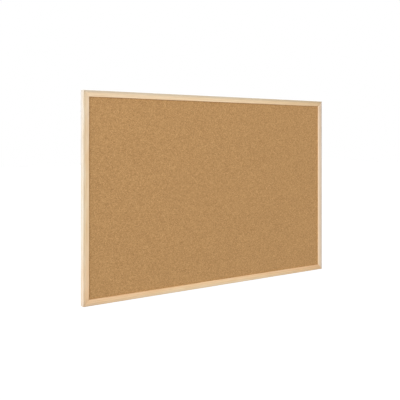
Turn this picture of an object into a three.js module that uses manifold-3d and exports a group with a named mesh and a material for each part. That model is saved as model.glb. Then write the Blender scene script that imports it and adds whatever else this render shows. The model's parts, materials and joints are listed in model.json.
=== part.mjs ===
// A landscape cork notice board in a mitred softwood frame.
// Millimetres, +Z up. The cork faces -Y and the wall lies at y = 0, behind the board's centre.

import * as THREE from "three";
import { mergeVertices } from "three/addons/utils/BufferGeometryUtils.js";
import Module from "manifold-3d";

// Board
const boardWidth = 900;
const boardHeight = 600;

// Clearances
const seatGap = 0.3; // between a piece and the flat face that it lies on
const glueLine = 0.2; // between two sheets of the panel
const mitreGap = 0.3; // glue line of each mitre
const slotClearance = 0.3; // round steel that is driven into the wood
const cutOverrun = 1; // how far a cutting tool runs past the face that it opens

// Frame moulding: a solid band with a lip that laps over the front of the panel
const faceWidth = 18;
const mouldingDepth = 18;
const lipThickness = 2.4;
const lapWidth = 6;
const outerArris = 2.2;
const sightArris = 1.2;
const backChamfer = 0.8;

// Panel, from the front
const corkThickness = 2;
const coreThickness = 6;
const backingThickness = 1;
const panelClearance = 0.5; // all round, in the rebate
const backingSetback = 0.8; // of the backing sheet from the core's edges

// Wedge nails: a bent steel strip driven across each mitre from behind
const wedgeLeg = 4.2;
const wedgeLip = 0.8;
const wedgeBend = 0.7;
const wedgeThickness = 0.5;
const wedgeDepth = 7;
const wedgeSink = 0.2;
const wedgePlaceShares = [0.28, 0.62]; // of the back band's width, from the outer corner

// Retaining points: flat steel tabs shot into the rebate's wall, over the panel's back
const pointLength = 15;
const pointWidth = 5.5;
const pointThickness = 0.5;
const pointGrip = 5;
const pointTip = 2.4;
const pointCorner = 1;
const pointsPerRail = 5;
const pointsPerStile = 3;

// Strap hangers, one on each stile
const hangerDrop = 60; // from the frame's top edge to the ring's axis
const hangerInset = 6.5; // from the frame's side to the strap's middle
const strapWidth = 7;
const strapThickness = 0.8;
const strapTail = 20; // from the ring's axis down to the rounded end
const strapNeckAngle = Math.PI / 4;
const strapNeckBend = 1.2;
const screwDrop = 15; // from the ring's axis to the screw
const ringWire = 1.8;
const ringInnerWidth = 8;
const ringReach = 10; // from the ring's axis to the middle of the wire at the far end
const ringCorner = 1.5;
const ringButtGap = 0.3;
const eyeClearance = 0.3;

// Pan-head screws
const screwHeadRadius = 2.9;
const screwHeadHeight = 1.7;
const screwHeadEdge = 0.7;
const screwShankRadius = 1.3;
const screwLength = 11;
const screwTip = 2.6;
const recessSpan = 3.2;
const recessWidth = 0.8;
const recessDepth = 1;
const strapHoleClearance = 0.3;

// Rubber bumpers, behind the lower corners
const bumperRadius = 4.5;
const bumperHeight = 4;
const bumperEdge = 1.4;
const bumperInset = 24; // from the frame's side to the bumper's middle

// Roundness of curves
const arcSegments = 8;
const lathedSegments = 32;
const wireSides = 12;
const ringSteps = 72;
const samePoint = 1e-6; // points of a path nearer than this are one

// Places that follow from the sizes above
const bandWidth = faceWidth - lapWidth;
const rebateDepth = mouldingDepth - lipThickness;
const frameBack = -(bumperHeight + seatGap);
const frameFront = frameBack - mouldingDepth;
const corkFront = frameFront + lipThickness + seatGap;
const coreFront = corkFront + corkThickness + glueLine;
const backingFront = coreFront + coreThickness + glueLine;
const pointFront = backingFront + backingThickness + seatGap;
const panelWidth = boardWidth - 2 * (bandWidth + panelClearance);
const panelHeight = boardHeight - 2 * (bandWidth + panelClearance);
const eyeRadius = ringWire / 2 + eyeClearance + strapThickness / 2; // to the middle of the strap
const eyeHeight = seatGap + strapThickness / 2 + eyeRadius; // ring's axis, above the frame's back
const strapTop = 2 * (seatGap + strapThickness); // upper layer's outside, above the frame's back
const ringLean = Math.asin((eyeHeight - seatGap - ringWire / 2) / ringReach);

const pine = new THREE.MeshStandardMaterial({ color: 0xe3c69c, roughness: 0.6 });
const cork = new THREE.MeshStandardMaterial({ color: 0xb98f5f, roughness: 0.95 });
const softboard = new THREE.MeshStandardMaterial({ color: 0xa88a62, roughness: 0.95 });
const kraftBoard = new THREE.MeshStandardMaterial({ color: 0xb08d62, roughness: 0.85 });
const steel = new THREE.MeshStandardMaterial({ color: 0xb9bcbf, roughness: 0.35, metalness: 1 });
const rubber = new THREE.MeshStandardMaterial({ color: 0x3a3a3a, roughness: 0.7 });

const wasm = await Module();
wasm.setup();

// A closed geometry as a solid that can be cut.
function solidFrom(geometry) {
  const bare = geometry.clone();
  bare.deleteAttribute("normal");
  bare.deleteAttribute("uv");
  const merged = mergeVertices(bare);
  return new wasm.Manifold(
    new wasm.Mesh({
      numProp: 3,
      vertProperties: merged.attributes.position.array,
      triVerts: new Uint32Array(merged.index.array),
    }),
  );
}

function geometryFrom(solid) {
  const mesh = solid.getMesh();
  const geometry = new THREE.BufferGeometry();
  geometry.setAttribute("position", new THREE.BufferAttribute(mesh.vertProperties, 3));
  geometry.setIndex(new THREE.BufferAttribute(mesh.triVerts, 1));
  geometry.computeVertexNormals();
  return geometry;
}

function cut(geometry, tools) {
  const solid = tools.reduce((rest, tool) => rest.subtract(solidFrom(tool)), solidFrom(geometry));
  return geometryFrom(solid);
}

function named(name, geometry, material) {
  const mesh = new THREE.Mesh(geometry, material);
  mesh.name = name;
  return mesh;
}

function box(sizeX, sizeY, sizeZ, x, y, z) {
  return new THREE.BoxGeometry(sizeX, sizeY, sizeZ).translate(x, y, z);
}

function prism(shape, depth) {
  return new THREE.ExtrudeGeometry(shape, {
    depth,
    bevelEnabled: false,
    curveSegments: arcSegments,
  });
}

// The outline of a strip of sheet metal whose middle line follows a path.
function stripOutline(path, thickness) {
  const apart = (point, i, all) => !i || point.distanceTo(all[i - 1]) > samePoint;
  const middle = path.getPoints(arcSegments).filter(apart);
  const sides = [[], []];
  middle.forEach((point, i) => {
    const before = middle[Math.max(i - 1, 0)];
    const after = middle[Math.min(i + 1, middle.length - 1)];
    const back = point.clone().sub(i ? before : point.clone().multiplyScalar(2).sub(after)).normalize();
    const ahead = i < middle.length - 1 ? after.clone().sub(point).normalize() : back;
    const along = back.clone().add(ahead).normalize();
    const reach = thickness / 2 / along.dot(ahead);
    const normal = new THREE.Vector2(-along.y, along.x).multiplyScalar(reach);
    sides[0].push(point.clone().add(normal));
    sides[1].unshift(point.clone().sub(normal));
  });
  return new THREE.Shape([...sides[0], ...sides[1]]);
}

// Section of the moulding: x runs in from the outer edge, y up from the back face.
function mouldingSection() {
  const section = new THREE.Shape();
  section.moveTo(backChamfer, 0);
  section.lineTo(bandWidth, 0);
  section.lineTo(bandWidth, rebateDepth);
  section.lineTo(faceWidth, rebateDepth);
  section.absarc(
    faceWidth - sightArris,
    mouldingDepth - sightArris,
    sightArris,
    0,
    Math.PI / 2,
    false,
  );
  section.absarc(outerArris, mouldingDepth - outerArris, outerArris, Math.PI / 2, Math.PI, false);
  section.lineTo(0, backChamfer);
  section.closePath();
  return section;
}

// A length of moulding with both ends mitred. It lies along X with its outer edge at z = 0,
// its back face at y = 0 and its front towards -Y.
function mitredLength(length) {
  const geometry = prism(mouldingSection(), 1);
  const place = geometry.attributes.position;
  for (let i = 0; i < place.count; i++) {
    const inward = place.getX(i);
    const reach = length / 2 - inward - mitreGap / Math.SQRT2;
    place.setXYZ(i, place.getZ(i) ? -reach : reach, -place.getY(i), -inward);
  }
  return geometry;
}

// A wedge nail in a corner whose outer point is the origin: one leg runs towards -X, in the rail,
// and the other towards -Z, in the stile. The slot is the same strip, thicker and deeper.
function wedgeStrip(placeShare, clearance) {
  const apex = bandWidth * placeShare;
  const end = apex + wedgeBend + wedgeLeg;
  const lip = wedgeLip * Math.SQRT1_2;
  const path = new THREE.Path();
  path.moveTo(-end - lip, -apex - lip);
  path.lineTo(-end, -apex);
  path.lineTo(-apex - wedgeBend, -apex);
  path.absarc(-apex - wedgeBend, -apex - wedgeBend, wedgeBend, Math.PI / 2, 0, true);
  path.lineTo(-apex, -end);
  path.lineTo(-apex - lip, -end - lip);
  const sunk = clearance ? -cutOverrun : wedgeSink;
  const depth = wedgeSink + wedgeDepth + clearance - sunk;
  const strip = prism(stripOutline(path, wedgeThickness + 2 * clearance), depth);
  return strip.rotateX(Math.PI / 2).translate(0, -sunk, 0);
}

// Even places along a length, centred on zero.
function evenPlaces(count, length) {
  return Array.from({ length: count }, (_, i) => ((i + 0.5) / count - 0.5) * length);
}

function pointSlot(along) {
  const across = pointWidth + 2 * slotClearance;
  const thick = pointThickness + 2 * slotClearance;
  const deep = pointGrip + slotClearance + cutOverrun;
  const middle = -bandWidth - cutOverrun + deep / 2;
  return box(across, thick, deep, along, pointFront - frameBack + pointThickness / 2, middle);
}

function pilotHole(along) {
  const depth = screwLength - strapTop - seatGap + slotClearance;
  const radius = screwShankRadius + slotClearance;
  const hole = new THREE.CylinderGeometry(radius, radius, depth + cutOverrun, lathedSegments);
  return hole.translate(along, (cutOverrun - depth) / 2, -hangerInset);
}

// One side of the frame, with the slots and holes that its steel is driven into.
function frameMember(name, length, pointCount, pilots) {
  const slots = wedgePlaceShares.flatMap((share) => [
    wedgeStrip(share, slotClearance).translate(length / 2, 0, 0),
    wedgeStrip(share, slotClearance)
      .rotateY(-Math.PI / 2)
      .translate(-length / 2, 0, 0),
  ]);
  const tabs = evenPlaces(pointCount, length).map(pointSlot);
  return named(name, cut(mitredLength(length), [...slots, ...tabs, ...pilots.map(pilotHole)]), pine);
}

// The four sides, each turned about the board's centre from the top rail's place.
function frame() {
  const screwPlace = boardHeight / 2 - hangerDrop - screwDrop;
  const sides = [
    ["top_rail", boardWidth, boardHeight, pointsPerRail, []],
    ["right_stile", boardHeight, boardWidth, pointsPerStile, [-screwPlace]],
    ["bottom_rail", boardWidth, boardHeight, pointsPerRail, []],
    ["left_stile", boardHeight, boardWidth, pointsPerStile, [screwPlace]],
  ];
  return sides.map(([name, length, span, pointCount, pilots], turn) => {
    const member = frameMember(name, length, pointCount, pilots);
    member.position.set(0, frameBack, 0);
    member.rotation.y = (turn * Math.PI) / 2;
    member.translateZ(span / 2);
    return member;
  });
}

function panel() {
  const sheets = [
    ["cork_sheet", corkFront, corkThickness, 0, cork],
    ["softboard_core", coreFront, coreThickness, 0, softboard],
    ["backing_sheet", backingFront, backingThickness, backingSetback, kraftBoard],
  ];
  return sheets.map(([name, front, thickness, setback, material]) => {
    const across = panelWidth - 2 * setback;
    const up = panelHeight - 2 * setback;
    const sheet = named(name, new THREE.BoxGeometry(across, thickness, up), material);
    sheet.position.y = front + thickness / 2;
    return sheet;
  });
}

function wedgeNails() {
  const corners = [
    ["top_right", 1, 1],
    ["bottom_right", 1, -1],
    ["bottom_left", -1, -1],
    ["top_left", -1, 1],
  ];
  return corners.flatMap(([corner, sideX, sideZ], turn) =>
    wedgePlaceShares.map((share, i) => {
      const nail = named(`wedge_nail_${corner}_${i + 1}`, wedgeStrip(share, 0), steel);
      nail.position.set((sideX * boardWidth) / 2, frameBack, (sideZ * boardHeight) / 2);
      nail.rotation.y = (turn * Math.PI) / 2;
      return nail;
    }),
  );
}

// A retaining point with its sharp end towards +Z, where the wood is, and its middle at x = 0.
function pointTab() {
  const half = pointWidth / 2;
  const outline = new THREE.Shape();
  outline.moveTo(0, pointGrip);
  outline.lineTo(-half, pointGrip - pointTip);
  outline.lineTo(-half, pointGrip - pointLength + pointCorner);
  outline.lineTo(-half + pointCorner, pointGrip - pointLength);
  outline.lineTo(half - pointCorner, pointGrip - pointLength);
  outline.lineTo(half, pointGrip - pointLength + pointCorner);
  outline.lineTo(half, pointGrip - pointTip);
  outline.closePath();
  return prism(outline, pointThickness).rotateX(Math.PI / 2).translate(0, pointThickness, 0);
}

function retainingPoints() {
  const sides = [
    ["top", boardWidth, boardHeight, pointsPerRail],
    ["right", boardHeight, boardWidth, pointsPerStile],
    ["bottom", boardWidth, boardHeight, pointsPerRail],
    ["left", boardHeight, boardWidth, pointsPerStile],
  ];
  return sides.flatMap(([side, length, span, count], turn) =>
    evenPlaces(count, length).map((along, i) => {
      const tab = named(`retaining_point_${side}_${i + 1}`, pointTab(), steel);
      tab.position.y = pointFront;
      tab.rotation.y = (turn * Math.PI) / 2;
      tab.translateX(along);
      tab.translateZ(span / 2 - bandWidth);
      return tab;
    }),
  );
}

// Middle line of the folded strap, seen from the side: x is the height above the frame's back and
// y runs up the stile from the ring's axis. It runs up the back layer, round the eye and down
// through the neck to the upper layer.
function strapPath() {
  const lower = seatGap + strapThickness / 2;
  const upper = strapTop - strapThickness / 2;
  const neckX = eyeHeight + eyeRadius * Math.cos(strapNeckAngle);
  const neckY = -eyeRadius * Math.sin(strapNeckAngle);
  const bendX = upper + strapNeckBend * (1 - Math.sin(strapNeckAngle));
  const bendY = neckY - (neckX - bendX) / Math.tan(strapNeckAngle);
  const path = new THREE.Path();
  path.moveTo(lower, -strapTail);
  path.lineTo(lower, 0);
  for (let i = 0; i <= 3 * arcSegments; i++) {
    const angle = Math.PI - ((Math.PI + strapNeckAngle) * i) / (3 * arcSegments);
    path.lineTo(eyeHeight + eyeRadius * Math.cos(angle), eyeRadius * Math.sin(angle));
  }
  path.lineTo(bendX, bendY);
  path.lineTo(upper, bendY - strapNeckBend * Math.cos(strapNeckAngle));
  path.lineTo(upper, -strapTail);
  return path;
}

function hangerStrap() {
  const side = prism(stripOutline(strapPath(), strapThickness), strapWidth);
  side.translate(0, 0, -strapWidth / 2);
  side.applyMatrix4(
    new THREE.Matrix4().makeBasis(
      new THREE.Vector3(0, 1, 0),
      new THREE.Vector3(0, 0, 1),
      new THREE.Vector3(1, 0, 0),
    ),
  );
  const half = strapWidth / 2;
  const plan = new THREE.Shape();
  plan.moveTo(half, eyeRadius + strapThickness);
  plan.lineTo(-half, eyeRadius + strapThickness);
  plan.absarc(0, -strapTail + half, half, Math.PI, 2 * Math.PI, false);
  plan.closePath();
  const across = 2 * (eyeHeight + eyeRadius + strapThickness);
  const trim = prism(plan, across).rotateX(Math.PI / 2).translate(0, across, 0);
  const holeRadius = screwShankRadius + strapHoleClearance;
  const hole = new THREE.CylinderGeometry(holeRadius, holeRadius, across, lathedSegments);
  hole.translate(0, across / 2, -screwDrop);
  return geometryFrom(solidFrom(side).intersect(solidFrom(trim)).subtract(solidFrom(hole)));
}

// A flat path in x and y, stood up in the XZ plane.
class UprightCurve extends THREE.Curve {
  constructor(path) {
    super();
    this.path = path;
  }
  getPoint(t, target = new THREE.Vector3()) {
    const point = this.path.getPointAt(t);
    return target.set(point.x, 0, point.y);
  }
}

// The D-shaped ring: its straight bar lies on the X axis with the wire's two ends butted in the
// middle, inside the eye, and its bow points to +Z.
function hangerRing() {
  const bow = (ringInnerWidth + ringWire) / 2;
  const bowCentre = ringReach - bow;
  const path = new THREE.Path();
  path.moveTo(ringButtGap / 2, 0);
  path.lineTo(bow - ringCorner, 0);
  path.absarc(bow - ringCorner, ringCorner, ringCorner, -Math.PI / 2, 0, false);
  path.lineTo(bow, bowCentre);
  path.absarc(0, bowCentre, bow, 0, Math.PI, false);
  path.lineTo(-bow, ringCorner);
  path.absarc(-bow + ringCorner, ringCorner, ringCorner, Math.PI, 1.5 * Math.PI, false);
  path.lineTo(-ringButtGap / 2, 0);
  const wire = new THREE.Shape(
    Array.from({ length: wireSides }, (_, i) => {
      const angle = (2 * Math.PI * i) / wireSides;
      return new THREE.Vector2(Math.cos(angle), Math.sin(angle)).multiplyScalar(ringWire / 2);
    }),
  );
  return new THREE.ExtrudeGeometry(wire, { steps: ringSteps, extrudePath: new UprightCurve(path) });
}

// A screw on the Y axis, with the underside of its head at y = 0 and its point towards -Y.
function panHeadScrew() {
  const profile = new THREE.Path();
  profile.moveTo(0, -screwLength);
  profile.lineTo(screwShankRadius, -screwLength + screwTip);
  profile.lineTo(screwShankRadius, 0);
  profile.lineTo(screwHeadRadius, 0);
  profile.lineTo(screwHeadRadius, screwHeadEdge);
  profile.quadraticCurveTo(screwHeadRadius, screwHeadHeight, 0, screwHeadHeight);
  const body = new THREE.LatheGeometry(profile.getPoints(arcSegments), lathedSegments);
  const deep = recessDepth + cutOverrun;
  const middle = screwHeadHeight - recessDepth + deep / 2;
  const cross = [
    box(recessSpan, deep, recessWidth, 0, middle, 0),
    box(recessWidth, deep, recessSpan, 0, middle, 0),
  ];
  return cut(body, cross);
}

// Each hanger stands on its stile's back, with its ring up, leaning on the wood.
function hangers() {
  const level = boardHeight / 2 - hangerDrop;
  return [
    ["left", -1],
    ["right", 1],
  ].flatMap(([side, sign]) => {
    const x = sign * (boardWidth / 2 - hangerInset);
    const strap = named(`${side}_hanger_strap`, hangerStrap(), steel);
    strap.position.set(x, frameBack, level);
    const ring = named(`${side}_hanger_ring`, hangerRing(), steel);
    ring.position.set(x, frameBack + eyeHeight, level);
    ring.rotation.x = ringLean;
    const screw = named(`${side}_hanger_screw`, panHeadScrew(), steel);
    screw.position.set(x, frameBack + strapTop + seatGap, level - screwDrop);
    return [strap, ring, screw];
  });
}

function bumpers() {
  const profile = new THREE.Path();
  profile.moveTo(0, 0);
  profile.lineTo(bumperRadius, 0);
  profile.lineTo(bumperRadius, bumperHeight - bumperEdge);
  profile.absarc(
    bumperRadius - bumperEdge,
    bumperHeight - bumperEdge,
    bumperEdge,
    0,
    Math.PI / 2,
    false,
  );
  profile.lineTo(0, bumperHeight);
  return [
    ["left_bumper", -1],
    ["right_bumper", 1],
  ].map(([name, sign]) => {
    const shape = new THREE.LatheGeometry(profile.getPoints(arcSegments), lathedSegments);
    const bumper = named(name, shape, rubber);
    bumper.position.set(
      sign * (boardWidth / 2 - bumperInset),
      frameBack + seatGap,
      -boardHeight / 2 + bandWidth / 2,
    );
    return bumper;
  });
}

const corkBoard = new THREE.Group();
corkBoard.add(
  ...frame(),
  ...panel(),
  ...wedgeNails(),
  ...retainingPoints(),
  ...hangers(),
  ...bumpers(),
);

export default corkBoard;
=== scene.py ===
"""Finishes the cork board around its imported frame: pine, cork, backing board, steel and rubber."""

import json
import math
from collections import namedtuple

import bmesh
import bpy
from mathutils import Euler, Matrix, Vector, noise

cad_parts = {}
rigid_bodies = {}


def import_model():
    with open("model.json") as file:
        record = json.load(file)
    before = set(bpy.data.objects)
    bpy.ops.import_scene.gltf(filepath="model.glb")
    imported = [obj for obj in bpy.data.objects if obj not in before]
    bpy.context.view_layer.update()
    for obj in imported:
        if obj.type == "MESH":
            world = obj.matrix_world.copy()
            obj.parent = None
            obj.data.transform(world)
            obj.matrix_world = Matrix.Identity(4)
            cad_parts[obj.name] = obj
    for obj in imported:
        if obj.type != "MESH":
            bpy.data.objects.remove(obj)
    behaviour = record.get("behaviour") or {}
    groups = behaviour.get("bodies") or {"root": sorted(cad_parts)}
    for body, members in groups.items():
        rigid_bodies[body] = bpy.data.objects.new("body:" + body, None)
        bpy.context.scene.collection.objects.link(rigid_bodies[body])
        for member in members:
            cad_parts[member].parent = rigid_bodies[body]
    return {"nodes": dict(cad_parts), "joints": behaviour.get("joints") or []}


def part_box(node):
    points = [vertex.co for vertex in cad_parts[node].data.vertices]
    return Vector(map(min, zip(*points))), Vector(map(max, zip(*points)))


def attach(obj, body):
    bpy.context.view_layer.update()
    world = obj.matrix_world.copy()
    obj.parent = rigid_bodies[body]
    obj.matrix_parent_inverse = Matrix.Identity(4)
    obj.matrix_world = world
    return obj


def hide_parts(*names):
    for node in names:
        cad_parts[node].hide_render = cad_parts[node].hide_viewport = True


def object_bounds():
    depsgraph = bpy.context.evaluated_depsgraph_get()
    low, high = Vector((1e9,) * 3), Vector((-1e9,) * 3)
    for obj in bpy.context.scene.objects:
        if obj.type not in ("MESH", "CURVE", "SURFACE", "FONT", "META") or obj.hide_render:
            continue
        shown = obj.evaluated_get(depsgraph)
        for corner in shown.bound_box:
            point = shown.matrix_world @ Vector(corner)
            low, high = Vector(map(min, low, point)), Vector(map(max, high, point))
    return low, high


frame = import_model()
cad_lowest, cad_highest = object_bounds()

MM = 0.001
WHITE = (1.0, 1.0, 1.0)

# Camera, fitted to the photograph's corners
PHOTO_WIDTH_PX = 400
FOCAL_PX = 582.1
HORIZON_PX = 140.6
SENSOR_MM = 36
CAMERA_TURN = math.radians(32.445)
CAMERA_PLACE = Vector((-1.0386, -1.5486, 0.1598))

# Light: what a face square to each lamp adds to the light all round
AMBIENT = 0.48
KEY_LIGHT = 0.76
KEY_FROM = Vector((-0.85, -0.50, 0.16)).normalized()
NEAR_LIGHT = 0.18
NEAR_PLACE = Vector((-1.0, -1.3, 1.6))
NEAR_SIDE = 1.2
BACK_LIGHT = 0.62
BACK_FROM = Vector((0.58, 0.79, 0.18)).normalized()
LAMP_SPREAD = math.radians(50)

# Floor, lifted so that the camera sees it just past white
FLOOR_DROP = 1.25
FLOOR_SIDE = 60
FLOOR_ALBEDO = 0.7
FLOOR_SEEN = 1.01
FLOOR_LIGHT = AMBIENT + KEY_LIGHT * KEY_FROM.z + BACK_LIGHT * BACK_FROM.z
FLOOR_LIFT = FLOOR_SEEN - FLOOR_ALBEDO * FLOOR_LIGHT

# Frame moulding
OUTER_ARRIS = 2.2 * MM
SIGHT_ARRIS = 1.2 * MM
BACK_CHAMFER = 0.8 * MM
LIP_SEAT = 0.05 * MM
PANEL_CLEARANCE = 0.5 * MM
MITRE_LINE = 0.06 * MM
MOULDING_EDGE = 0.18 * MM
ARRIS_STEPS = 10
ROW_PITCH = 15 * MM
POCKET_CLEARANCE = 0.06 * MM
POCKET_MOUTH = 1 * MM
POCKET_OVERRUN = 1 * MM

# Sheets
CORK_PITCH = 3 * MM
CORK_RELIEF = 0.16 * MM
BACKING_PITCH = 6 * MM
BACKING_RELIEF = 0.2 * MM
SWELL_SIZE = 70 * MM
RIPPLE_PITCHES = 2.2
RIPPLE_SLICE = 0.3
MEAN_DIP = 0.5
DIP_SWING = 0.3

# Hanger ring
RING_WIRE = 1.8 * MM
RING_INNER_WIDTH = 8 * MM
RING_REACH = 10 * MM
RING_CORNER = 1.5 * MM
RING_BUTT_GAP = 0.1 * MM
RING_SEAT = 0.3 * MM
CORNER_STEPS = 8
BOW_STEPS = 32
WIRE_SIDES = 24

# Hanger screw
SCREW_LENGTH = 11 * MM
SCREW_TIP = 2.6 * MM
SCREW_CORE = 1.0 * MM
SCREW_THREAD = 0.3 * MM
SHANK_ROOT = 0.4 * MM
SHANK_SIDES = 32
SHANK_ROWS = 150
THREAD_PITCH = 1.1 * MM
THREAD_FLANK = 0.3
THREAD_START = 1.5 * MM
THREAD_END = 1.2 * MM
THREAD_AT_TIP = 0.25
HEAD_RADIUS = 2.9 * MM
HEAD_HEIGHT = 1.7 * MM
HEAD_EDGE = 0.45 * MM
HEAD_BREAK = 0.1 * MM
HEAD_FULLNESS = 0.75
HEAD_STEPS = 12
HEAD_SIDES = 48
RECESS_SPAN = 3.2 * MM
RECESS_WIDTH = 0.8 * MM
RECESS_DEPTH = 1.0 * MM
RECESS_TAPER_SHARE = 0.55
SCREW_TURN = {"left": math.radians(17), "right": math.radians(-31)}

# Worked edges of the small pieces
STEEL_EDGE = 0.12 * MM
THIN_STEEL_EDGE = 0.06 * MM
RUBBER_EDGE = 0.15 * MM
EDGE_SEGMENTS = 2
WELD = 0.001 * MM
FLAT_WITHIN = math.radians(0.5)

# Angles in degrees above which an edge is worked, and above which it is shaded as sharp
WORKED_ABOVE = 30
STRAP_WORKED_ABOVE = 50
BUMPER_WORKED_ABOVE = 60
SHARP_ABOVE = 35
SCREW_SHARP_ABOVE = 40

# Pine: its colours, and the sizes and tones of its pattern across the grain
EARLY_WOOD = (0.905, 0.725, 0.50)
LATE_WOOD = (0.79, 0.575, 0.36)
GROWTH_RING = 3.1 * MM
RING_WANDER = 14 * MM
WANDER_SIZE = 22 * MM
UNREST_SIZE = 20 * MM
PATCH_SIZE = 12 * MM
FIGURE_SIZE = 10 * MM
FIGURE_TONE = (0.012, 0.038, 0.08)
MELLOW = (1.0, 0.965, 0.90)
STREAK_SIZE = 1.6 * MM
STREAK = (0.93, 0.90, 0.86)
FIBRE_SIZE = 0.35 * MM
PINE_RELIEF = 0.05 * MM

# How densely the pattern repeats along the grain, against once across it
SLOW_GRAIN = 0.035
FIGURE_GRAIN = 0.15
FIBRE_GRAIN = 0.02

# Shares of the moulding's width at which its face begins and its outer arris ends
FACE_BEGINS = 0.02
ARRIS_ENDS = 0.12

# How far patches push the tones: across the face, and at the ends along the length
FACE_WAVER = 0.16
END_WAVER = 0.2

# Depths from the wall between which the sides are painted darker towards the back edge, a painted
# shade, and between which the face's painted shade and painted highlight reach back from the face
REAR_SHADE_NONE, REAR_SHADE_FULL = -12.5 * MM, -4.5 * MM
FACE_SHADING_NONE, FACE_SHADING_FULL = -7 * MM, -16 * MM
# The tone of the sides at their back edge: painted shade.
REAR_SHADE = (0.90, 0.89, 0.90)

# One length of pine: where in the log it is cut, how warm it is, its figure as (strength, start),
# the tone of its sides, the share of the face from which its outer shoulder is fully shaded, the
# tones of its outer shoulder and sight edge, which are painted shade and a painted highlight,
# and those of its two ends and two outer tips, left or lower one first
Wood = namedtuple("Wood", "shift warmth figure side worn_from shoulder sight ends tips")

# The frame's four sides: whether upright, 1 for up or right and -1 for down or left, and the wood
MEMBERS = {
    "top_rail": (False, 1, Wood(
        shift=(0.13, 0.036, -0.262),
        warmth=(1.07, 1.06, 1.05),
        figure=(0.7, 0.028),
        side=(0.98, 1.08, 1.24),
        worn_from=0.03,
        shoulder=(0.72, 0.79, 0.88),
        sight=(1.08, 1.06, 1.04),
        ends=((1.0, 1.0, 1.03), (0.86, 0.80, 0.71)),
        tips=((0.92, 0.91, 0.91), WHITE),
    )),
    "bottom_rail": (False, -1, Wood(
        shift=(0.41, 0.052, 0.268),
        warmth=(1.07, 0.985, 0.885),
        figure=(1.4, 0.014),
        side=(0.98, 1.08, 1.24),
        worn_from=0.03,
        shoulder=(0.89, 0.97, 1.08),
        sight=(1.03, 1.0, 0.97),
        ends=((0.97, 0.92, 0.91), (0.90, 0.82, 0.76)),
        tips=((0.76, 0.74, 0.72), (0.94, 0.93, 0.94)),
    )),
    "left_stile": (True, -1, Wood(
        shift=(0.413, 0.044, 0.27),
        warmth=(1.01, 0.97, 0.92),
        figure=(1.9, 0.028),
        # Its sides are tinted paler than the others': a painted highlight where the key lamp falls
        # on them.
        side=(1.04, 1.24, 1.64),
        worn_from=0.09,
        shoulder=(0.85, 0.95, 1.08),
        sight=(1.03, 1.0, 0.97),
        ends=((1.01, 0.90, 0.81), (1.0, 1.05, 1.16)),
        tips=((0.91, 0.93, 0.97), (0.95, 0.94, 0.94)),
    )),
    "right_stile": (True, 1, Wood(
        shift=(-0.478, 0.048, 0.71),
        warmth=(0.99, 1.0, 1.09),
        figure=(0.6, 0.021),
        side=(0.98, 1.08, 1.24),
        worn_from=0.03,
        shoulder=(0.815, 0.895, 1.055),
        # Its sight edge is painted lighter and paler than the others': a painted highlight where the
        # key lamp falls.
        sight=(1.09, 1.13, 1.15),
        ends=(WHITE, (0.93, 0.92, 0.93)),
        tips=((0.93, 0.92, 0.93), (0.96, 0.95, 0.95)),
    )),
}

# Cork: granules of two sizes, pressed out of shape, with pores painted darker as painted shade, and
# a slow drift of tone
GRANULE = 1.3 * MM
LARGE_GRANULE = 3.0 * MM
LARGE_SHARE = 0.95
PRESSED_BY = 1.1 * MM
PRESSED_SIZE = 2.2 * MM
PORE_SIZE = 0.45 * MM
DRIFT_SIZE = 90 * MM
GRANULE_RELIEF = 0.12 * MM
BARK = (0.17, 0.085, 0.036)

# Fibreboards: the directions in which fibres lie, their length in widths, and dark specks
FIBRE_TURNS = (0.35, 1.15, 1.95, 2.75)
FIBRE_LENGTH = 4.0
FIBRE_RELIEF = 0.08 * MM
MOTTLE_SIZE = 30 * MM
SPECK_PITCH = 2.4 * MM
SPECK = (0.16, 0.085, 0.04)
KRAFT = ((0.42, 0.265, 0.135), (0.35, 0.215, 0.108))
KRAFT_FIBRE = 0.9 * MM
SOFTBOARD = ((0.38, 0.26, 0.14), (0.24, 0.155, 0.08))
SOFTBOARD_FIBRE = 2.2 * MM

# Zinc plate, with how smooth each kind of steel is and how its rolls or die draw it out
SPANGLE_SIZE = 2.2 * MM
BRUSH_SIZE = 0.25 * MM
BRUSH_RELIEF = 0.01 * MM
BRUSH_ROUGHNESS = 0.22
ROLLED = (0.24, (1, 1, 0.08))
DRAWN = (0.18, (0.3, 1, 1))

# Rubber
BLOOM_SIZE = 1.8 * MM
SKIN_SIZE = 0.3 * MM
SKIN_RELIEF = 0.03 * MM


# Node trees

def new_tree(name):
    """A material with an empty node tree."""
    material = bpy.data.materials.new(name)
    material.use_nodes = True
    material.node_tree.nodes.clear()
    return material, material.node_tree


def add(tree, kind, inputs=None, **settings):
    """Adds a node; an input that is a socket is linked, and any other is set."""
    node = tree.nodes.new("ShaderNode" + kind)
    for key, value in settings.items():
        setattr(node, key, value)
    for key, value in (inputs or {}).items():
        socket = node.inputs[key]
        if isinstance(value, bpy.types.NodeSocket):
            tree.links.new(value, socket)
        else:
            socket.default_value = (*value, 1) if socket.type == "RGBA" else value
    return node


def calc(tree, operation, *values):
    return add(tree, "Math", dict(enumerate(values)), operation=operation).outputs[0]


def ramp(tree, share, *stops):
    """A curve of values or colours, given as (place, value)."""
    node = add(tree, "ValToRGB", {"Fac": share})
    elements = node.color_ramp.elements
    while len(elements) < len(stops):
        elements.new(1)
    for element, (position, value) in zip(elements, stops):
        element.position = position
        element.color = (*value, 1) if isinstance(value, tuple) else (value, value, value, 1)
    return node.outputs["Color"]


def blend(tree, share, first, second, mode="MIX"):
    """Blends two colours; the Mix node's colours are its inputs 6 and 7 and its output 2."""
    inputs = {0: share, 6: first, 7: second}
    return add(tree, "Mix", inputs, data_type="RGBA", blend_type=mode).outputs[2]


def tinted(tree, colour, *tones):
    """Multiplies a colour by each tone in turn."""
    for tone in tones:
        colour = blend(tree, 1.0, colour, tone, "MULTIPLY")
    return colour


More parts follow.
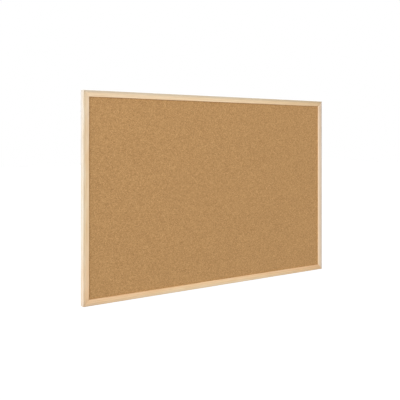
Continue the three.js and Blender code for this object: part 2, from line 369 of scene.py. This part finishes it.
def grains(tree, where, size, feature="F1"):
    """Cells of the given size in metres."""
    return add(tree, "TexVoronoi", {"Vector": where, "Scale": 1 / size}, feature=feature)


def clouds(tree, where, size, detail=3.0, roughness=0.55, output="Fac"):
    """Soft noise of the given size in metres, about 0 to 1."""
    inputs = {"Vector": where, "Scale": 1 / size, "Detail": detail, "Roughness": roughness}
    return add(tree, "TexNoise", inputs).outputs[output]


def channels(tree, colour):
    return add(tree, "SeparateColor", {"Color": colour}).outputs


def place(tree):
    """Places in the piece's own frame, in metres."""
    return add(tree, "TexCoord").outputs["Object"]


def stretched(tree, where, scale, shift=(0, 0, 0)):
    return add(tree, "Mapping", {"Vector": where, "Scale": scale, "Location": shift}).outputs[0]


def drawn_out(axis, density):
    """Scales that draw a pattern out along one axis."""
    return [density if i == axis else 1.0 for i in range(3)]


def between(tree, value, none, full):
    """0 at one value and 1 at the other, and evenly between them."""
    return add(tree, "MapRange", {"Value": value, "From Min": none, "From Max": full}).outputs[0]


def strayed(tree, where, stray, reach):
    """Moves each place by its own stray, times a reach in metres."""
    inputs = {0: stray, 1: (reach, reach, reach), 2: where}
    return add(tree, "VectorMath", inputs, operation="MULTIPLY_ADD").outputs[0]


def wavering(tree, pattern, reach):
    """A pattern of about 0 to 1 as a push to either side, half of the reach at most."""
    return calc(tree, "MULTIPLY_ADD", pattern, reach, -reach / 2)


def surface(tree, colour, roughness, height, relief, shine, strength=0.5):
    """Ends a material in one surface, with a relief that only the light shows."""
    bump = add(tree, "Bump", {"Height": height, "Distance": relief, "Strength": strength})
    inputs = {"Base Color": colour, "Roughness": roughness, "Normal": bump.outputs[0], **shine}
    shader = add(tree, "BsdfPrincipled", inputs)
    add(tree, "OutputMaterial", {"Surface": shader.outputs[0]})


# Materials

def product(first, second):
    return tuple(a * b for a, b in zip(first, second))


def pine(name, axis, edge, face, half, wood):
    """Planed pine. Growth rings run along one axis, and each length of wood has its own shift."""
    material, tree = new_tree(name)
    here = place(tree)
    where = stretched(tree, here, (1, 1, 1), wood.shift)
    slowly = stretched(tree, where, drawn_out(axis, SLOW_GRAIN))
    finely = stretched(tree, where, drawn_out(axis, FIBRE_GRAIN))

    wander = clouds(tree, slowly, WANDER_SIZE, 2.0, 0.45, "Color")
    stray = add(tree, "VectorMath", {0: wander, 1: (0.5, 0.5, 0.5)}, operation="SUBTRACT")
    bent = strayed(tree, where, stray.outputs[0], RING_WANDER)
    flat = stretched(tree, bent, drawn_out(axis, 0.0))
    radius = add(tree, "VectorMath", {0: flat}, operation="LENGTH").outputs["Value"]
    count = calc(tree, "DIVIDE", radius, GROWTH_RING)
    rings = calc(tree, "ADD", count, clouds(tree, flat, UNREST_SIZE, 1.0))
    season = calc(tree, "FRACT", rings)
    late = ramp(tree, season, (0.0, 0.0), (0.35, 0.10), (0.80, 0.62), (0.93, 1.0), (1.0, 0.0))
    early_wood = product(EARLY_WOOD, wood.warmth)
    late_wood = product(LATE_WOOD, wood.warmth)

    patches = clouds(tree, slowly, PATCH_SIZE, 2.0)
    mellow = ramp(tree, patches, (0.30, MELLOW), (0.70, 1.0))
    strength, start = wood.figure
    figure_place = stretched(tree, where, drawn_out(axis, FIGURE_GRAIN), (start, start, start))
    paler = clouds(tree, figure_place, FIGURE_SIZE, 2.0)
    swing = [strength * tone for tone in FIGURE_TONE]
    dark, light = tuple(1 - part for part in swing), tuple(1 + part for part in swing)
    figure = ramp(tree, paler, (0.3, dark), (0.7, light))
    fibres = clouds(tree, finely, FIBRE_SIZE, 2.0, 0.6)
    fibre = ramp(tree, fibres, (0.30, 0.90), (0.55, 1.0))
    streaks = clouds(tree, finely, STREAK_SIZE, 2.0)
    streak = ramp(tree, streaks, (0.28, STREAK), (0.5, 1.0))

    parts = add(tree, "SeparateXYZ", {"Vector": here}).outputs
    share = calc(tree, "MULTIPLY_ADD", parts[axis], 0.5 / half, 0.5)
    tip = ramp(tree, share, (0.0, wood.tips[0]), (0.075, 1.0), (0.925, 1.0), (1.0, wood.tips[1]))
    across = across_with_painted_light(tree, parts, axis, edge, face, patches, tip, wood)
    # Tones that shift towards each end of the length, from the first end's tone to the second's.
    waver = calc(tree, "ADD", share, wavering(tree, patches, END_WAVER))
    toward_ends = ramp(tree, waver, (0.0, wood.ends[0]), (0.35, 1.0), (0.6, 1.0), (1.0, wood.ends[1]))

    colour = blend(tree, late, early_wood, late_wood)
    colour = tinted(tree, colour, mellow, figure, fibre, streak, across, toward_ends)
    roughness = ramp(tree, fibres, (0.3, 0.62), (0.7, 0.48))
    height = calc(tree, "MULTIPLY_ADD", late, 0.5, fibres)
    surface(tree, colour, roughness, height, PINE_RELIEF, {"Specular IOR Level": 0.35})
    return material


def across_with_painted_light(tree, parts, axis, edge, face, patches, tip, wood):
    """Tone across the moulding: pale sawn sides, an outer shoulder painted darker and greyer as
    painted shade, and a sight edge painted lighter as a painted highlight.
    """
    inward = calc(tree, "SUBTRACT", edge, calc(tree, "ABSOLUTE", parts[2 - axis]))
    share = calc(tree, "DIVIDE", inward, face)
    drift = wavering(tree, patches, FACE_WAVER)
    on_face = calc(tree, "GREATER_THAN", share, FACE_BEGINS)
    waver = calc(tree, "ADD", share, calc(tree, "MULTIPLY", drift, on_face))
    # Across the face: the outer shoulder painted darker and greyer, a painted shade, and the sight
    # edge painted lighter, a painted highlight
    sides_and_painted_shading = ramp(
        tree,
        waver,
        (0.0, wood.side),
        (wood.worn_from, wood.shoulder),
        (ARRIS_ENDS, wood.shoulder),
        (0.30, tuple((1 + tone) / 2 for tone in wood.shoulder)),
        (0.55, 1.0),
        (0.85, (1.01, 1.0, 0.99)),
        (1.0, wood.sight),
    )
    outermost = ramp(tree, share, (ARRIS_ENDS, 1.0), (0.28, 0.4))
    sides_and_painted_shading = blend(tree, outermost, sides_and_painted_shading, tinted(tree, sides_and_painted_shading, tip))
    # The sides darken towards the back edge: painted shade.
    rear = between(tree, parts[1], REAR_SHADE_NONE, REAR_SHADE_FULL)
    side_with_rear_shade = blend(tree, rear, wood.side, product(wood.side, REAR_SHADE))
    plain = blend(tree, ramp(tree, share, (0.0, 0.0), (ARRIS_ENDS, 1.0)), side_with_rear_shade, WHITE)
    return blend(tree, between(tree, parts[1], FACE_SHADING_NONE, FACE_SHADING_FULL), plain, sides_and_painted_shading)


def cork():
    """Fine agglomerated cork, sanded flat: pressed granules with scattered bark."""
    material, tree = new_tree("cork")
    where = place(tree)
    stray = clouds(tree, where, PRESSED_SIZE, 2.0, 0.5, "Color")
    pressed = strayed(tree, where, stray, PRESSED_BY)
    pick = channels(tree, grains(tree, pressed, GRANULE).outputs["Color"])
    pick_large = channels(tree, grains(tree, pressed, LARGE_GRANULE).outputs["Color"])
    seams = grains(tree, pressed, GRANULE, "DISTANCE_TO_EDGE").outputs["Distance"]
    tone = calc(tree, "MULTIPLY_ADD", pick_large[0], LARGE_SHARE, pick[0])
    tone = calc(tree, "DIVIDE", tone, 1 + LARGE_SHARE)
    colour = ramp(
        tree,
        tone,
        (0.0, (0.395, 0.208, 0.080)),
        (0.25, (0.485, 0.267, 0.102)),
        (0.55, (0.563, 0.320, 0.129)),
        (0.80, (0.625, 0.363, 0.151)),
        (1.0, (0.695, 0.422, 0.186)),
    )
    colour = blend(tree, ramp(tree, pick[1], (0.955, 0.0), (0.97, 0.65)), colour, BARK)
    seam = ramp(tree, seams, (0.0, 0.88), (0.12, 1.0))
    drift = ramp(tree, clouds(tree, where, DRIFT_SIZE), (0.3, 0.978), (0.7, 1.004))
    pores = clouds(tree, where, PORE_SIZE, 3.0, 0.65)
    # Darker where the pores sink: painted shade in the pits.
    pit_shade = ramp(tree, pores, (0.30, (0.80, 0.76, 0.70)), (0.46, 1.0), (0.72, 1.05))
    colour = tinted(tree, colour, seam, drift, pit_shade)
    roughness = ramp(tree, tone, (0.1, 0.94), (0.9, 0.80))
    height = calc(tree, "MULTIPLY_ADD", pick[2], 0.6, pores)
    height = calc(tree, "MULTIPLY_ADD", seam, 2.5, height)
    surface(tree, colour, roughness, height, GRANULE_RELIEF, {"Specular IOR Level": 0.2}, 0.6)
    return material


def fibreboard(name, base, fleck, size):
    """Felted wood fibre or kraft paper: short fibres that lie every way, and scattered specks."""
    material, tree = new_tree(name)
    where = place(tree)
    fibres = 0
    for turn in FIBRE_TURNS:
        inputs = {
            "Vector": where,
            "Rotation": (0, turn, 0),
            "Scale": (FIBRE_LENGTH, 1, 1),
            "Location": (turn, 0, 0),
        }
        lie = add(tree, "Mapping", inputs, vector_type="TEXTURE").outputs[0]
        fibres = calc(tree, "MAXIMUM", fibres, clouds(tree, lie, size, 2.0))
    colour = blend(tree, ramp(tree, fibres, (0.48, 1.0), (0.72, 0.0)), base, fleck)
    mottling = clouds(tree, where, MOTTLE_SIZE, 4.0)
    cast = ramp(tree, mottling, (0.3, (0.93, 0.93, 0.92)), (0.7, (1.04, 1.03, 1.02)))
    colour = tinted(tree, colour, cast)
    cells = grains(tree, where, SPECK_PITCH)
    specks = ramp(tree, cells.outputs["Distance"], (0.08, 1.0), (0.2, 0.0))
    few = ramp(tree, channels(tree, cells.outputs["Color"])[0], (0.84, 0.0), (0.88, 0.45))
    colour = blend(tree, calc(tree, "MULTIPLY", specks, few), colour, SPECK)
    roughness = ramp(tree, mottling, (0.3, 0.78), (0.7, 0.66))
    surface(tree, colour, roughness, fibres, FIBRE_RELIEF, {"Specular IOR Level": 0.3})
    return material


def zinc(name, smoothest, brush):
    """Bright zinc plate on steel, rolled or drawn along one axis."""
    material, tree = new_tree(name)
    where = place(tree)
    lines = clouds(tree, stretched(tree, where, brush), BRUSH_SIZE)
    colour = ramp(
        tree,
        clouds(tree, where, SPANGLE_SIZE),
        (0.3, (0.42, 0.44, 0.48)),
        (0.55, (0.53, 0.54, 0.56)),
        (0.75, (0.59, 0.58, 0.55)),
    )
    roughness = calc(tree, "MULTIPLY_ADD", lines, BRUSH_ROUGHNESS, smoothest)
    surface(tree, colour, roughness, lines, BRUSH_RELIEF, {"Metallic": 1.0})
    return material


def rubber():
    """Moulded black rubber with a faint bloom."""
    material, tree = new_tree("rubber")
    where = place(tree)
    bloom = clouds(tree, where, BLOOM_SIZE, 4.0)
    colour = ramp(tree, bloom, (0.35, (0.030, 0.030, 0.031)), (0.75, (0.062, 0.060, 0.058)))
    skin = clouds(tree, where, SKIN_SIZE, 2.0)
    roughness = ramp(tree, bloom, (0.3, 0.55), (0.7, 0.72))
    surface(tree, colour, roughness, skin, SKIN_RELIEF, {"Specular IOR Level": 0.4})
    return material


# Meshes

def finished(name, shape):
    """A bmesh as a mesh with its faces outward."""
    bmesh.ops.recalc_face_normals(shape, faces=shape.faces)
    mesh = bpy.data.meshes.new(name)
    shape.to_mesh(mesh)
    shape.free()
    return mesh


def combined(mesh, others, operation="DIFFERENCE"):
    """Cuts closed meshes out of a closed mesh, or joins them to it, and welds the result."""
    target = bpy.data.objects.new("target", mesh)
    bpy.context.scene.collection.objects.link(target)
    tools = bpy.data.collections.new("tools")
    bpy.context.scene.collection.children.link(tools)
    for other in others:
        tools.objects.link(bpy.data.objects.new("tool", other))
    cut = target.modifiers.new("cut", "BOOLEAN")
    cut.operation = operation
    cut.operand_type = "COLLECTION"
    cut.collection = tools
    cut.solver = "EXACT"
    bpy.context.view_layer.update()
    graph = bpy.context.evaluated_depsgraph_get()
    shape = bmesh.new()
    shape.from_mesh(target.evaluated_get(graph).to_mesh())
    for tool in list(tools.objects):
        bpy.data.objects.remove(tool)
    bpy.data.collections.remove(tools)
    bpy.data.objects.remove(target)
    bmesh.ops.remove_doubles(shape, verts=shape.verts, dist=WELD)
    bmesh.ops.dissolve_degenerate(shape, edges=shape.edges, dist=WELD)
    return shape


def welded(node):
    """A CAD node's shape as a bmesh with shared vertices and whole flat faces."""
    shape = bmesh.new()
    shape.from_mesh(frame["nodes"][node].data)
    bmesh.ops.remove_doubles(shape, verts=shape.verts, dist=WELD)
    bmesh.ops.dissolve_limit(
        shape, angle_limit=FLAT_WITHIN, verts=shape.verts, edges=shape.edges
    )
    return shape


def bevelled(shape, width, above=WORKED_ABOVE):
    """Rounds every edge that is sharper than an angle in degrees."""
    sharp = [
        edge
        for edge in shape.edges
        if edge.is_manifold and edge.calc_face_angle() > math.radians(above)
    ]
    bmesh.ops.bevel(
        shape,
        geom=sharp,
        offset=width,
        segments=EDGE_SEGMENTS,
        profile=0.5,
        affect="EDGES",
        clamp_overlap=True,
    )
    return shape


def sleeve(shape, rings):
    """Joins rings of vertices, one after another, and closes both ends."""
    count = len(rings[0])
    for near, far in zip(rings, rings[1:]):
        for i in range(count):
            j = (i + 1) % count
            shape.faces.new((near[i], near[j], far[j], far[i]))
    shape.faces.new(rings[0])
    shape.faces.new(reversed(rings[-1]))
    return shape


# Pieces

def piece(name, mesh, material, body, node, sharp_above=SHARP_ABOVE):
    """Adds a mesh that stands for a named node and rides on its body."""
    mesh.shade_smooth()
    mesh.set_sharp_from_angle(angle=math.radians(sharp_above))
    mesh.materials.clear()
    mesh.materials.append(material)
    thing = bpy.data.objects.new(name, mesh)
    bpy.context.scene.collection.objects.link(thing)
    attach(thing, body)
    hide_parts(node)


def moulding_section(face, depth, band, rebate):
    """The frame's section as (inward, forward from the back face)."""
    quarter = [math.pi / 2 * i / ARRIS_STEPS for i in range(ARRIS_STEPS + 1)]
    sight = [
        (
            face - SIGHT_ARRIS + SIGHT_ARRIS * math.cos(a),
            depth - SIGHT_ARRIS + SIGHT_ARRIS * math.sin(a),
        )
        for a in quarter
    ]
    outer = [
        (OUTER_ARRIS - OUTER_ARRIS * math.sin(a), depth - OUTER_ARRIS + OUTER_ARRIS * math.cos(a))
        for a in quarter
    ]
    back = [(0, BACK_CHAMFER), (BACK_CHAMFER, 0), (band, 0), (band, rebate), (face, rebate)]
    return back + sight + outer


def wedge_pocket(node, back):
    """The slot that a wedge nail has cut for itself, open at the frame's back."""
    shape = welded(node)
    shape.normal_update()
    for vertex in shape.verts:
        vertex.co += vertex.normal * POCKET_CLEARANCE
    for vertex in shape.verts:
        if vertex.co.y > back - POCKET_MOUTH:
            vertex.co.y = back + POCKET_OVERRUN
    return finished("pocket", shape)


def frame_member(name, upright, sign, wood):
    """One mitred side of the frame, with the slots of its wedge nails."""
    lowest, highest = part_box(name)
    cork_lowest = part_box("cork_sheet")[0]
    back = highest.y
    depth = back - lowest.y
    face = highest.x - lowest.x if upright else highest.z - lowest.z
    rebate = back - cork_lowest.y + LIP_SEAT
    band = cork_lowest.x - PANEL_CLEARANCE - cad_lowest.x
    half, edge = cad_highest.x, cad_highest.z
    if upright:
        half, edge = edge, half
    rows = round(2 * half / ROW_PITCH)
    shape = bmesh.new()
    rings = []
    for row in range(rows + 1):
        ring = []
        for inward, forward in moulding_section(face, depth, band, rebate):
            reach = half - inward - MITRE_LINE
            along_it = reach * (2 * row / rows - 1)
            out = sign * (edge - inward)
            x, z = (out, along_it) if upright else (along_it, out)
            ring.append(shape.verts.new((x, back - forward, z)))
        rings.append(ring)
    sleeve(shape, rings)
    bmesh.ops.recalc_face_normals(shape, faces=shape.faces)
    bevelled(shape, MOULDING_EDGE)
    mesh = finished(name, shape)
    side = name.split("_")[0]
    nails = [node for node in frame["nodes"] if node.startswith("wedge_nail_") and side in node]
    mesh = finished(name, combined(mesh, [wedge_pocket(node, back) for node in nails]))
    material = pine(f"pine_{name}", 2 if upright else 0, edge, face, half, wood)
    piece(f"{name}_moulding", mesh, material, "board", name)


def sheet(name, node, side, pitch, relief, material):
    """A sheet whose face on one side rises and dips by a hair, inside its CAD box."""
    lowest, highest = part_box(node)
    columns = round((highest.x - lowest.x) / pitch)
    rows = round((highest.z - lowest.z) / pitch)
    face, rear = (highest.y, lowest.y) if side > 0 else (lowest.y, highest.y)
    shape = bmesh.new()
    grid = []
    for row in range(rows + 1):
        line = []
        for column in range(columns + 1):
            x = lowest.x + (highest.x - lowest.x) * column / columns
            z = lowest.z + (highest.z - lowest.z) * row / rows
            swell = noise.noise(Vector((x, z, 0)) / SWELL_SIZE)
            ripple = noise.noise(Vector((x, z, RIPPLE_SLICE)) / (RIPPLE_PITCHES * pitch))
            dip = relief * (MEAN_DIP + DIP_SWING * swell + DIP_SWING * ripple)
            line.append(shape.verts.new((x, face - side * max(dip, 0), z)))
        grid.append(line)
    for near, far in zip(grid, grid[1:]):
        for i in range(columns):
            shape.faces.new((near[i], near[i + 1], far[i + 1], far[i]))
    rim = grid[0] + [line[-1] for line in grid[1:]]
    rim += grid[-1][-2::-1] + [line[0] for line in grid[-2:0:-1]]
    base = [shape.verts.new((vertex.co.x, rear, vertex.co.z)) for vertex in rim]
    for i in range(len(rim)):
        j = (i + 1) % len(rim)
        shape.faces.new((rim[i], rim[j], base[j], base[i]))
    shape.faces.new(base)
    piece(name, finished(name, shape), material, "board", node)


def worked(node, material, width, above=WORKED_ABOVE):
    """A small CAD piece with its edges rounded, as deburred or moulded."""
    mesh = finished(node, bevelled(welded(node), width, above))
    piece(f"{node}_worked", mesh, material, "board", node)


def ring_path():
    """The D-ring's middle line in its own plane, from butt to butt, as (across, up)."""
    bow = (RING_INNER_WIDTH + RING_WIRE) / 2
    middle = RING_REACH - bow
    right = [(RING_BUTT_GAP / 2, 0), (bow - RING_CORNER, 0)]
    for i in range(1, CORNER_STEPS + 1):
        a = math.pi / 2 * i / CORNER_STEPS
        across = bow - RING_CORNER + RING_CORNER * math.sin(a)
        right.append((across, RING_CORNER * (1 - math.cos(a))))
    over = []
    for i in range(BOW_STEPS + 1):
        a = math.pi * i / BOW_STEPS
        over.append((bow * math.cos(a), middle + bow * math.sin(a)))
    left = [(-across, up) for across, up in reversed(right)]
    return right + over + left


def swept(path, radius, sides):
    """A round wire along a flat path in the XZ plane, with its ends closed."""
    shape = bmesh.new()
    rings = []
    for i, (across, up) in enumerate(path):
        before = path[max(i - 1, 0)]
        after = path[min(i + 1, len(path) - 1)]
        ahead = Vector((after[0] - before[0], 0, after[1] - before[1])).normalized()
        normal = Vector((-ahead.z, 0, ahead.x))
        ring = []
        for k in range(sides):
            a = 2 * math.pi * k / sides
            offset = normal * math.cos(a) + Vector((0, 1, 0)) * math.sin(a)
            ring.append(shape.verts.new(Vector((across, 0, up)) + offset * radius))
        rings.append(ring)
    return sleeve(shape, rings)


def hanger_ring(side, material):
    """A D-ring on its hinge, leaning so that its wire rests on the frame's back."""
    node = f"{side}_hanger_ring"
    joint = next(j for j in frame["joints"] if j["child"] == f"{side}_ring")
    axis = Vector(joint["pos_m"])
    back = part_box("top_rail")[1].y
    lean = math.asin((axis.y - back - RING_SEAT - RING_WIRE / 2) / RING_REACH)
    shape = swept(ring_path(), RING_WIRE / 2, WIRE_SIDES)
    move = Matrix.Translation(axis) @ Matrix.Rotation(lean, 4, "X")
    bmesh.ops.transform(shape, matrix=move, verts=shape.verts)
    mesh = finished(node, shape)
    piece(f"{node}_wire", mesh, material, f"{side}_ring", node)


def turned(profile, sides):
    """A closed solid of revolution about Y, from (radius, height) points, axis to axis."""
    shape = bmesh.new()
    turns = [2 * math.pi * k / sides for k in range(sides)]
    rings = [
        [shape.verts.new((radius * math.cos(a), height, radius * math.sin(a))) for a in turns]
        for radius, height in profile[1:-1]
    ]
    first = shape.verts.new((0, profile[0][1], 0))
    last = shape.verts.new((0, profile[-1][1], 0))
    for k in range(sides):
        m = (k + 1) % sides
        shape.faces.new((first, rings[0][k], rings[0][m]))
        shape.faces.new((last, rings[-1][m], rings[-1][k]))
        for near, far in zip(rings, rings[1:]):
            shape.faces.new((near[k], far[k], far[m], near[m]))
    return shape


def screw_head():
    """A pan head with its cross recess, its underside at y = 0."""
    profile = [(0, 0), (HEAD_RADIUS - HEAD_BREAK, 0), (HEAD_RADIUS, HEAD_BREAK)]
    profile.append((HEAD_RADIUS, HEAD_EDGE))
    for i in range(1, HEAD_STEPS):
        a = math.pi / 2 * i / HEAD_STEPS
        height = HEAD_EDGE + (HEAD_HEIGHT - HEAD_EDGE) * math.sin(a)
        profile.append((HEAD_RADIUS * math.cos(a) ** HEAD_FULLNESS, height))
    profile.append((0, HEAD_HEIGHT))
    head = finished("head", turned(profile, HEAD_SIDES))
    return finished("head", combined(head, [cross_recess()]))


def cross_recess():
    """The plus-shaped, tapering cutter of a cross recess."""
    shape = bmesh.new()
    rings = []
    for height, share in ((-RECESS_DEPTH, RECESS_TAPER_SHARE), (0, 1), (RECESS_DEPTH, 1)):
        arm = RECESS_SPAN / 2 * share
        half = RECESS_WIDTH / 2 * (1 + share) / 2
        outline = []
        for c, s in ((1, 0), (0, 1), (-1, 0), (0, -1)):
            for u, v in ((arm, -half), (arm, half), (half, half)):
                outline.append((c * u - s * v, s * u + c * v))
        rings.append([shape.verts.new((u, HEAD_HEIGHT + height, v)) for u, v in outline])
    return finished("recess", sleeve(shape, rings))


def screw_shank():
    """A tapping shank: a core with one helical ridge that dies out at the point and the neck."""
    shape = bmesh.new()
    rings = []
    for row in range(SHANK_ROWS):
        down = SCREW_LENGTH * row / SHANK_ROWS if row else -SHANK_ROOT
        left = SCREW_LENGTH - down
        taper = min(1.0, left / SCREW_TIP)
        fade = min(1.0, max(down, 0) / THREAD_START) * min(1.0, left / THREAD_END)
        ring = []
        for k in range(SHANK_SIDES):
            turn = (down / THREAD_PITCH - k / SHANK_SIDES) % 1
            ridge = max(0.0, 1 - abs(turn - 0.5) / THREAD_FLANK)
            thread = SCREW_THREAD * ridge * fade * min(1.0, taper + THREAD_AT_TIP)
            radius = SCREW_CORE * taper + thread
            a = 2 * math.pi * k / SHANK_SIDES
            ring.append(shape.verts.new((radius * math.cos(a), -down, radius * math.sin(a))))
        rings.append(ring)
    tip = shape.verts.new((0, -SCREW_LENGTH, 0))
    for k in range(SHANK_SIDES):
        m = (k + 1) % SHANK_SIDES
        shape.faces.new((tip, rings[-1][k], rings[-1][m]))
        for near, far in zip(rings, rings[1:]):
            shape.faces.new((near[k], far[k], far[m], near[m]))
    shape.faces.new(rings[0])
    return finished("shank", shape)


def hanger_screw(side, material):
    """A pan-head screw, its head on the strap and its shank in the wood."""
    node = f"{side}_hanger_screw"
    lowest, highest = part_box(node)
    middle = (lowest + highest) / 2
    seat = Vector((middle.x, highest.y - HEAD_HEIGHT, middle.z))
    shape = combined(screw_head(), [screw_shank()], "UNION")
    move = Matrix.Translation(seat) @ Matrix.Rotation(SCREW_TURN[side], 4, "Y")
    bmesh.ops.transform(shape, matrix=move, verts=shape.verts)
    mesh = finished(node, shape)
    piece(f"{node}_turned", mesh, material, "board", node, SCREW_SHARP_ABOVE)


def board():
    """The frame, the cork, the board behind it and the core between them."""
    for name, (upright, sign, wood) in MEMBERS.items():
        frame_member(name, upright, sign, wood)
    sheet("cork_face", "cork_sheet", -1, CORK_PITCH, CORK_RELIEF, cork())
    kraft = fibreboard("kraft_board", *KRAFT, KRAFT_FIBRE)
    sheet("backing_board", "backing_sheet", 1, BACKING_PITCH, BACKING_RELIEF, kraft)
    softboard = fibreboard("softboard", *SOFTBOARD, SOFTBOARD_FIBRE)
    core = frame["nodes"]["softboard_core"]
    core.data.materials.clear()
    core.data.materials.append(softboard)


def fittings():
    """The nails, points, straps, rings, screws and bumpers behind the frame."""
    rolled = zinc("zinc_plate", *ROLLED)
    drawn = zinc("zinc_wire", *DRAWN)
    for node in sorted(frame["nodes"]):
        if node.startswith(("wedge_nail_", "retaining_point_")):
            worked(node, rolled, THIN_STEEL_EDGE)
        elif node.endswith("_hanger_strap"):
            worked(node, rolled, STEEL_EDGE, STRAP_WORKED_ABOVE)
    black = rubber()
    for side in ("left", "right"):
        hanger_ring(side, drawn)
        hanger_screw(side, drawn)
        worked(f"{side}_bumper", black, RUBBER_EDGE, BUMPER_WORKED_ABOVE)


# Studio

def staged(name, data):
    """Adds a lamp, a camera or a floor to the scene."""
    thing = bpy.data.objects.new(name, data)
    bpy.context.scene.collection.objects.link(thing)
    return thing


def far_lamp(name, strength, direction):
    """A far soft lamp that gives a face square to it the strength of a white surround."""
    data = bpy.data.lights.new(name, "SUN")
    data.angle = LAMP_SPREAD
    data.energy = strength * math.pi
    staged(name, data).rotation_euler = direction.to_track_quat("Z", "Y").to_euler()


def near_lamp(name, strength, position, side):
    """A soft box near the board; its strength is for a square face at the origin."""
    data = bpy.data.lights.new(name, "AREA")
    data.size = side
    data.energy = strength * math.pi ** 2 * position.length_squared
    thing = staged(name, data)
    thing.location = position
    thing.rotation_euler = position.to_track_quat("Z", "Y").to_euler()
    thing.visible_camera = False


def seen_share(tree):
    """1 for rays from the camera and for reflected or refracted ones, and 0 for light."""
    path = add(tree, "LightPath").outputs
    share = calc(tree, "MAXIMUM", path["Is Camera Ray"], path["Is Glossy Ray"])
    return calc(tree, "MAXIMUM", share, path["Is Transmission Ray"])


def surround():
    """An even sky that is white to the camera and dimmer as light."""
    world = bpy.data.worlds.new("studio")
    bpy.context.scene.world = world
    world.use_nodes = True
    tree = world.node_tree
    tree.nodes.clear()
    strength = calc(tree, "MULTIPLY_ADD", seen_share(tree), 1 - AMBIENT, AMBIENT)
    sky = add(tree, "Background", {"Color": WHITE, "Strength": strength})
    add(tree, "OutputWorld", {"Surface": sky.outputs[0]})


def floor():
    """A wide matt floor far below, lifted to white where it is seen."""
    material, tree = new_tree("floor")
    matt = add(tree, "BsdfDiffuse", {"Color": (FLOOR_ALBEDO, FLOOR_ALBEDO, FLOOR_ALBEDO)})
    lift = calc(tree, "MULTIPLY", seen_share(tree), FLOOR_LIFT)
    glow = add(tree, "Emission", {"Color": WHITE, "Strength": lift})
    both = add(tree, "AddShader", {0: matt.outputs[0], 1: glow.outputs[0]})
    add(tree, "OutputMaterial", {"Surface": both.outputs[0]})
    shape = bmesh.new()
    bmesh.ops.create_grid(shape, x_segments=1, y_segments=1, size=FLOOR_SIDE / 2)
    mesh = bpy.data.meshes.new("floor")
    shape.to_mesh(mesh)
    shape.free()
    mesh.materials.append(material)
    thing = staged("floor", mesh)
    thing.location.z = -FLOOR_DROP


def camera():
    """A level camera that sees the board as the photograph does."""
    data = bpy.data.cameras.new("camera")
    data.sensor_width = SENSOR_MM
    data.lens = FOCAL_PX / PHOTO_WIDTH_PX * SENSOR_MM
    data.shift_y = (HORIZON_PX - PHOTO_WIDTH_PX / 2) / PHOTO_WIDTH_PX
    thing = staged("camera", data)
    thing.location = CAMERA_PLACE
    thing.rotation_euler = Euler((math.pi / 2, 0, -CAMERA_TURN))
    bpy.context.scene.camera = thing


camera()
surround()
floor()
far_lamp("key", KEY_LIGHT, KEY_FROM)
near_lamp("near", NEAR_LIGHT, NEAR_PLACE, NEAR_SIDE)
far_lamp("back", BACK_LIGHT, BACK_FROM)
board()
fittings()
bpy.context.scene.view_settings.view_transform = "Standard"
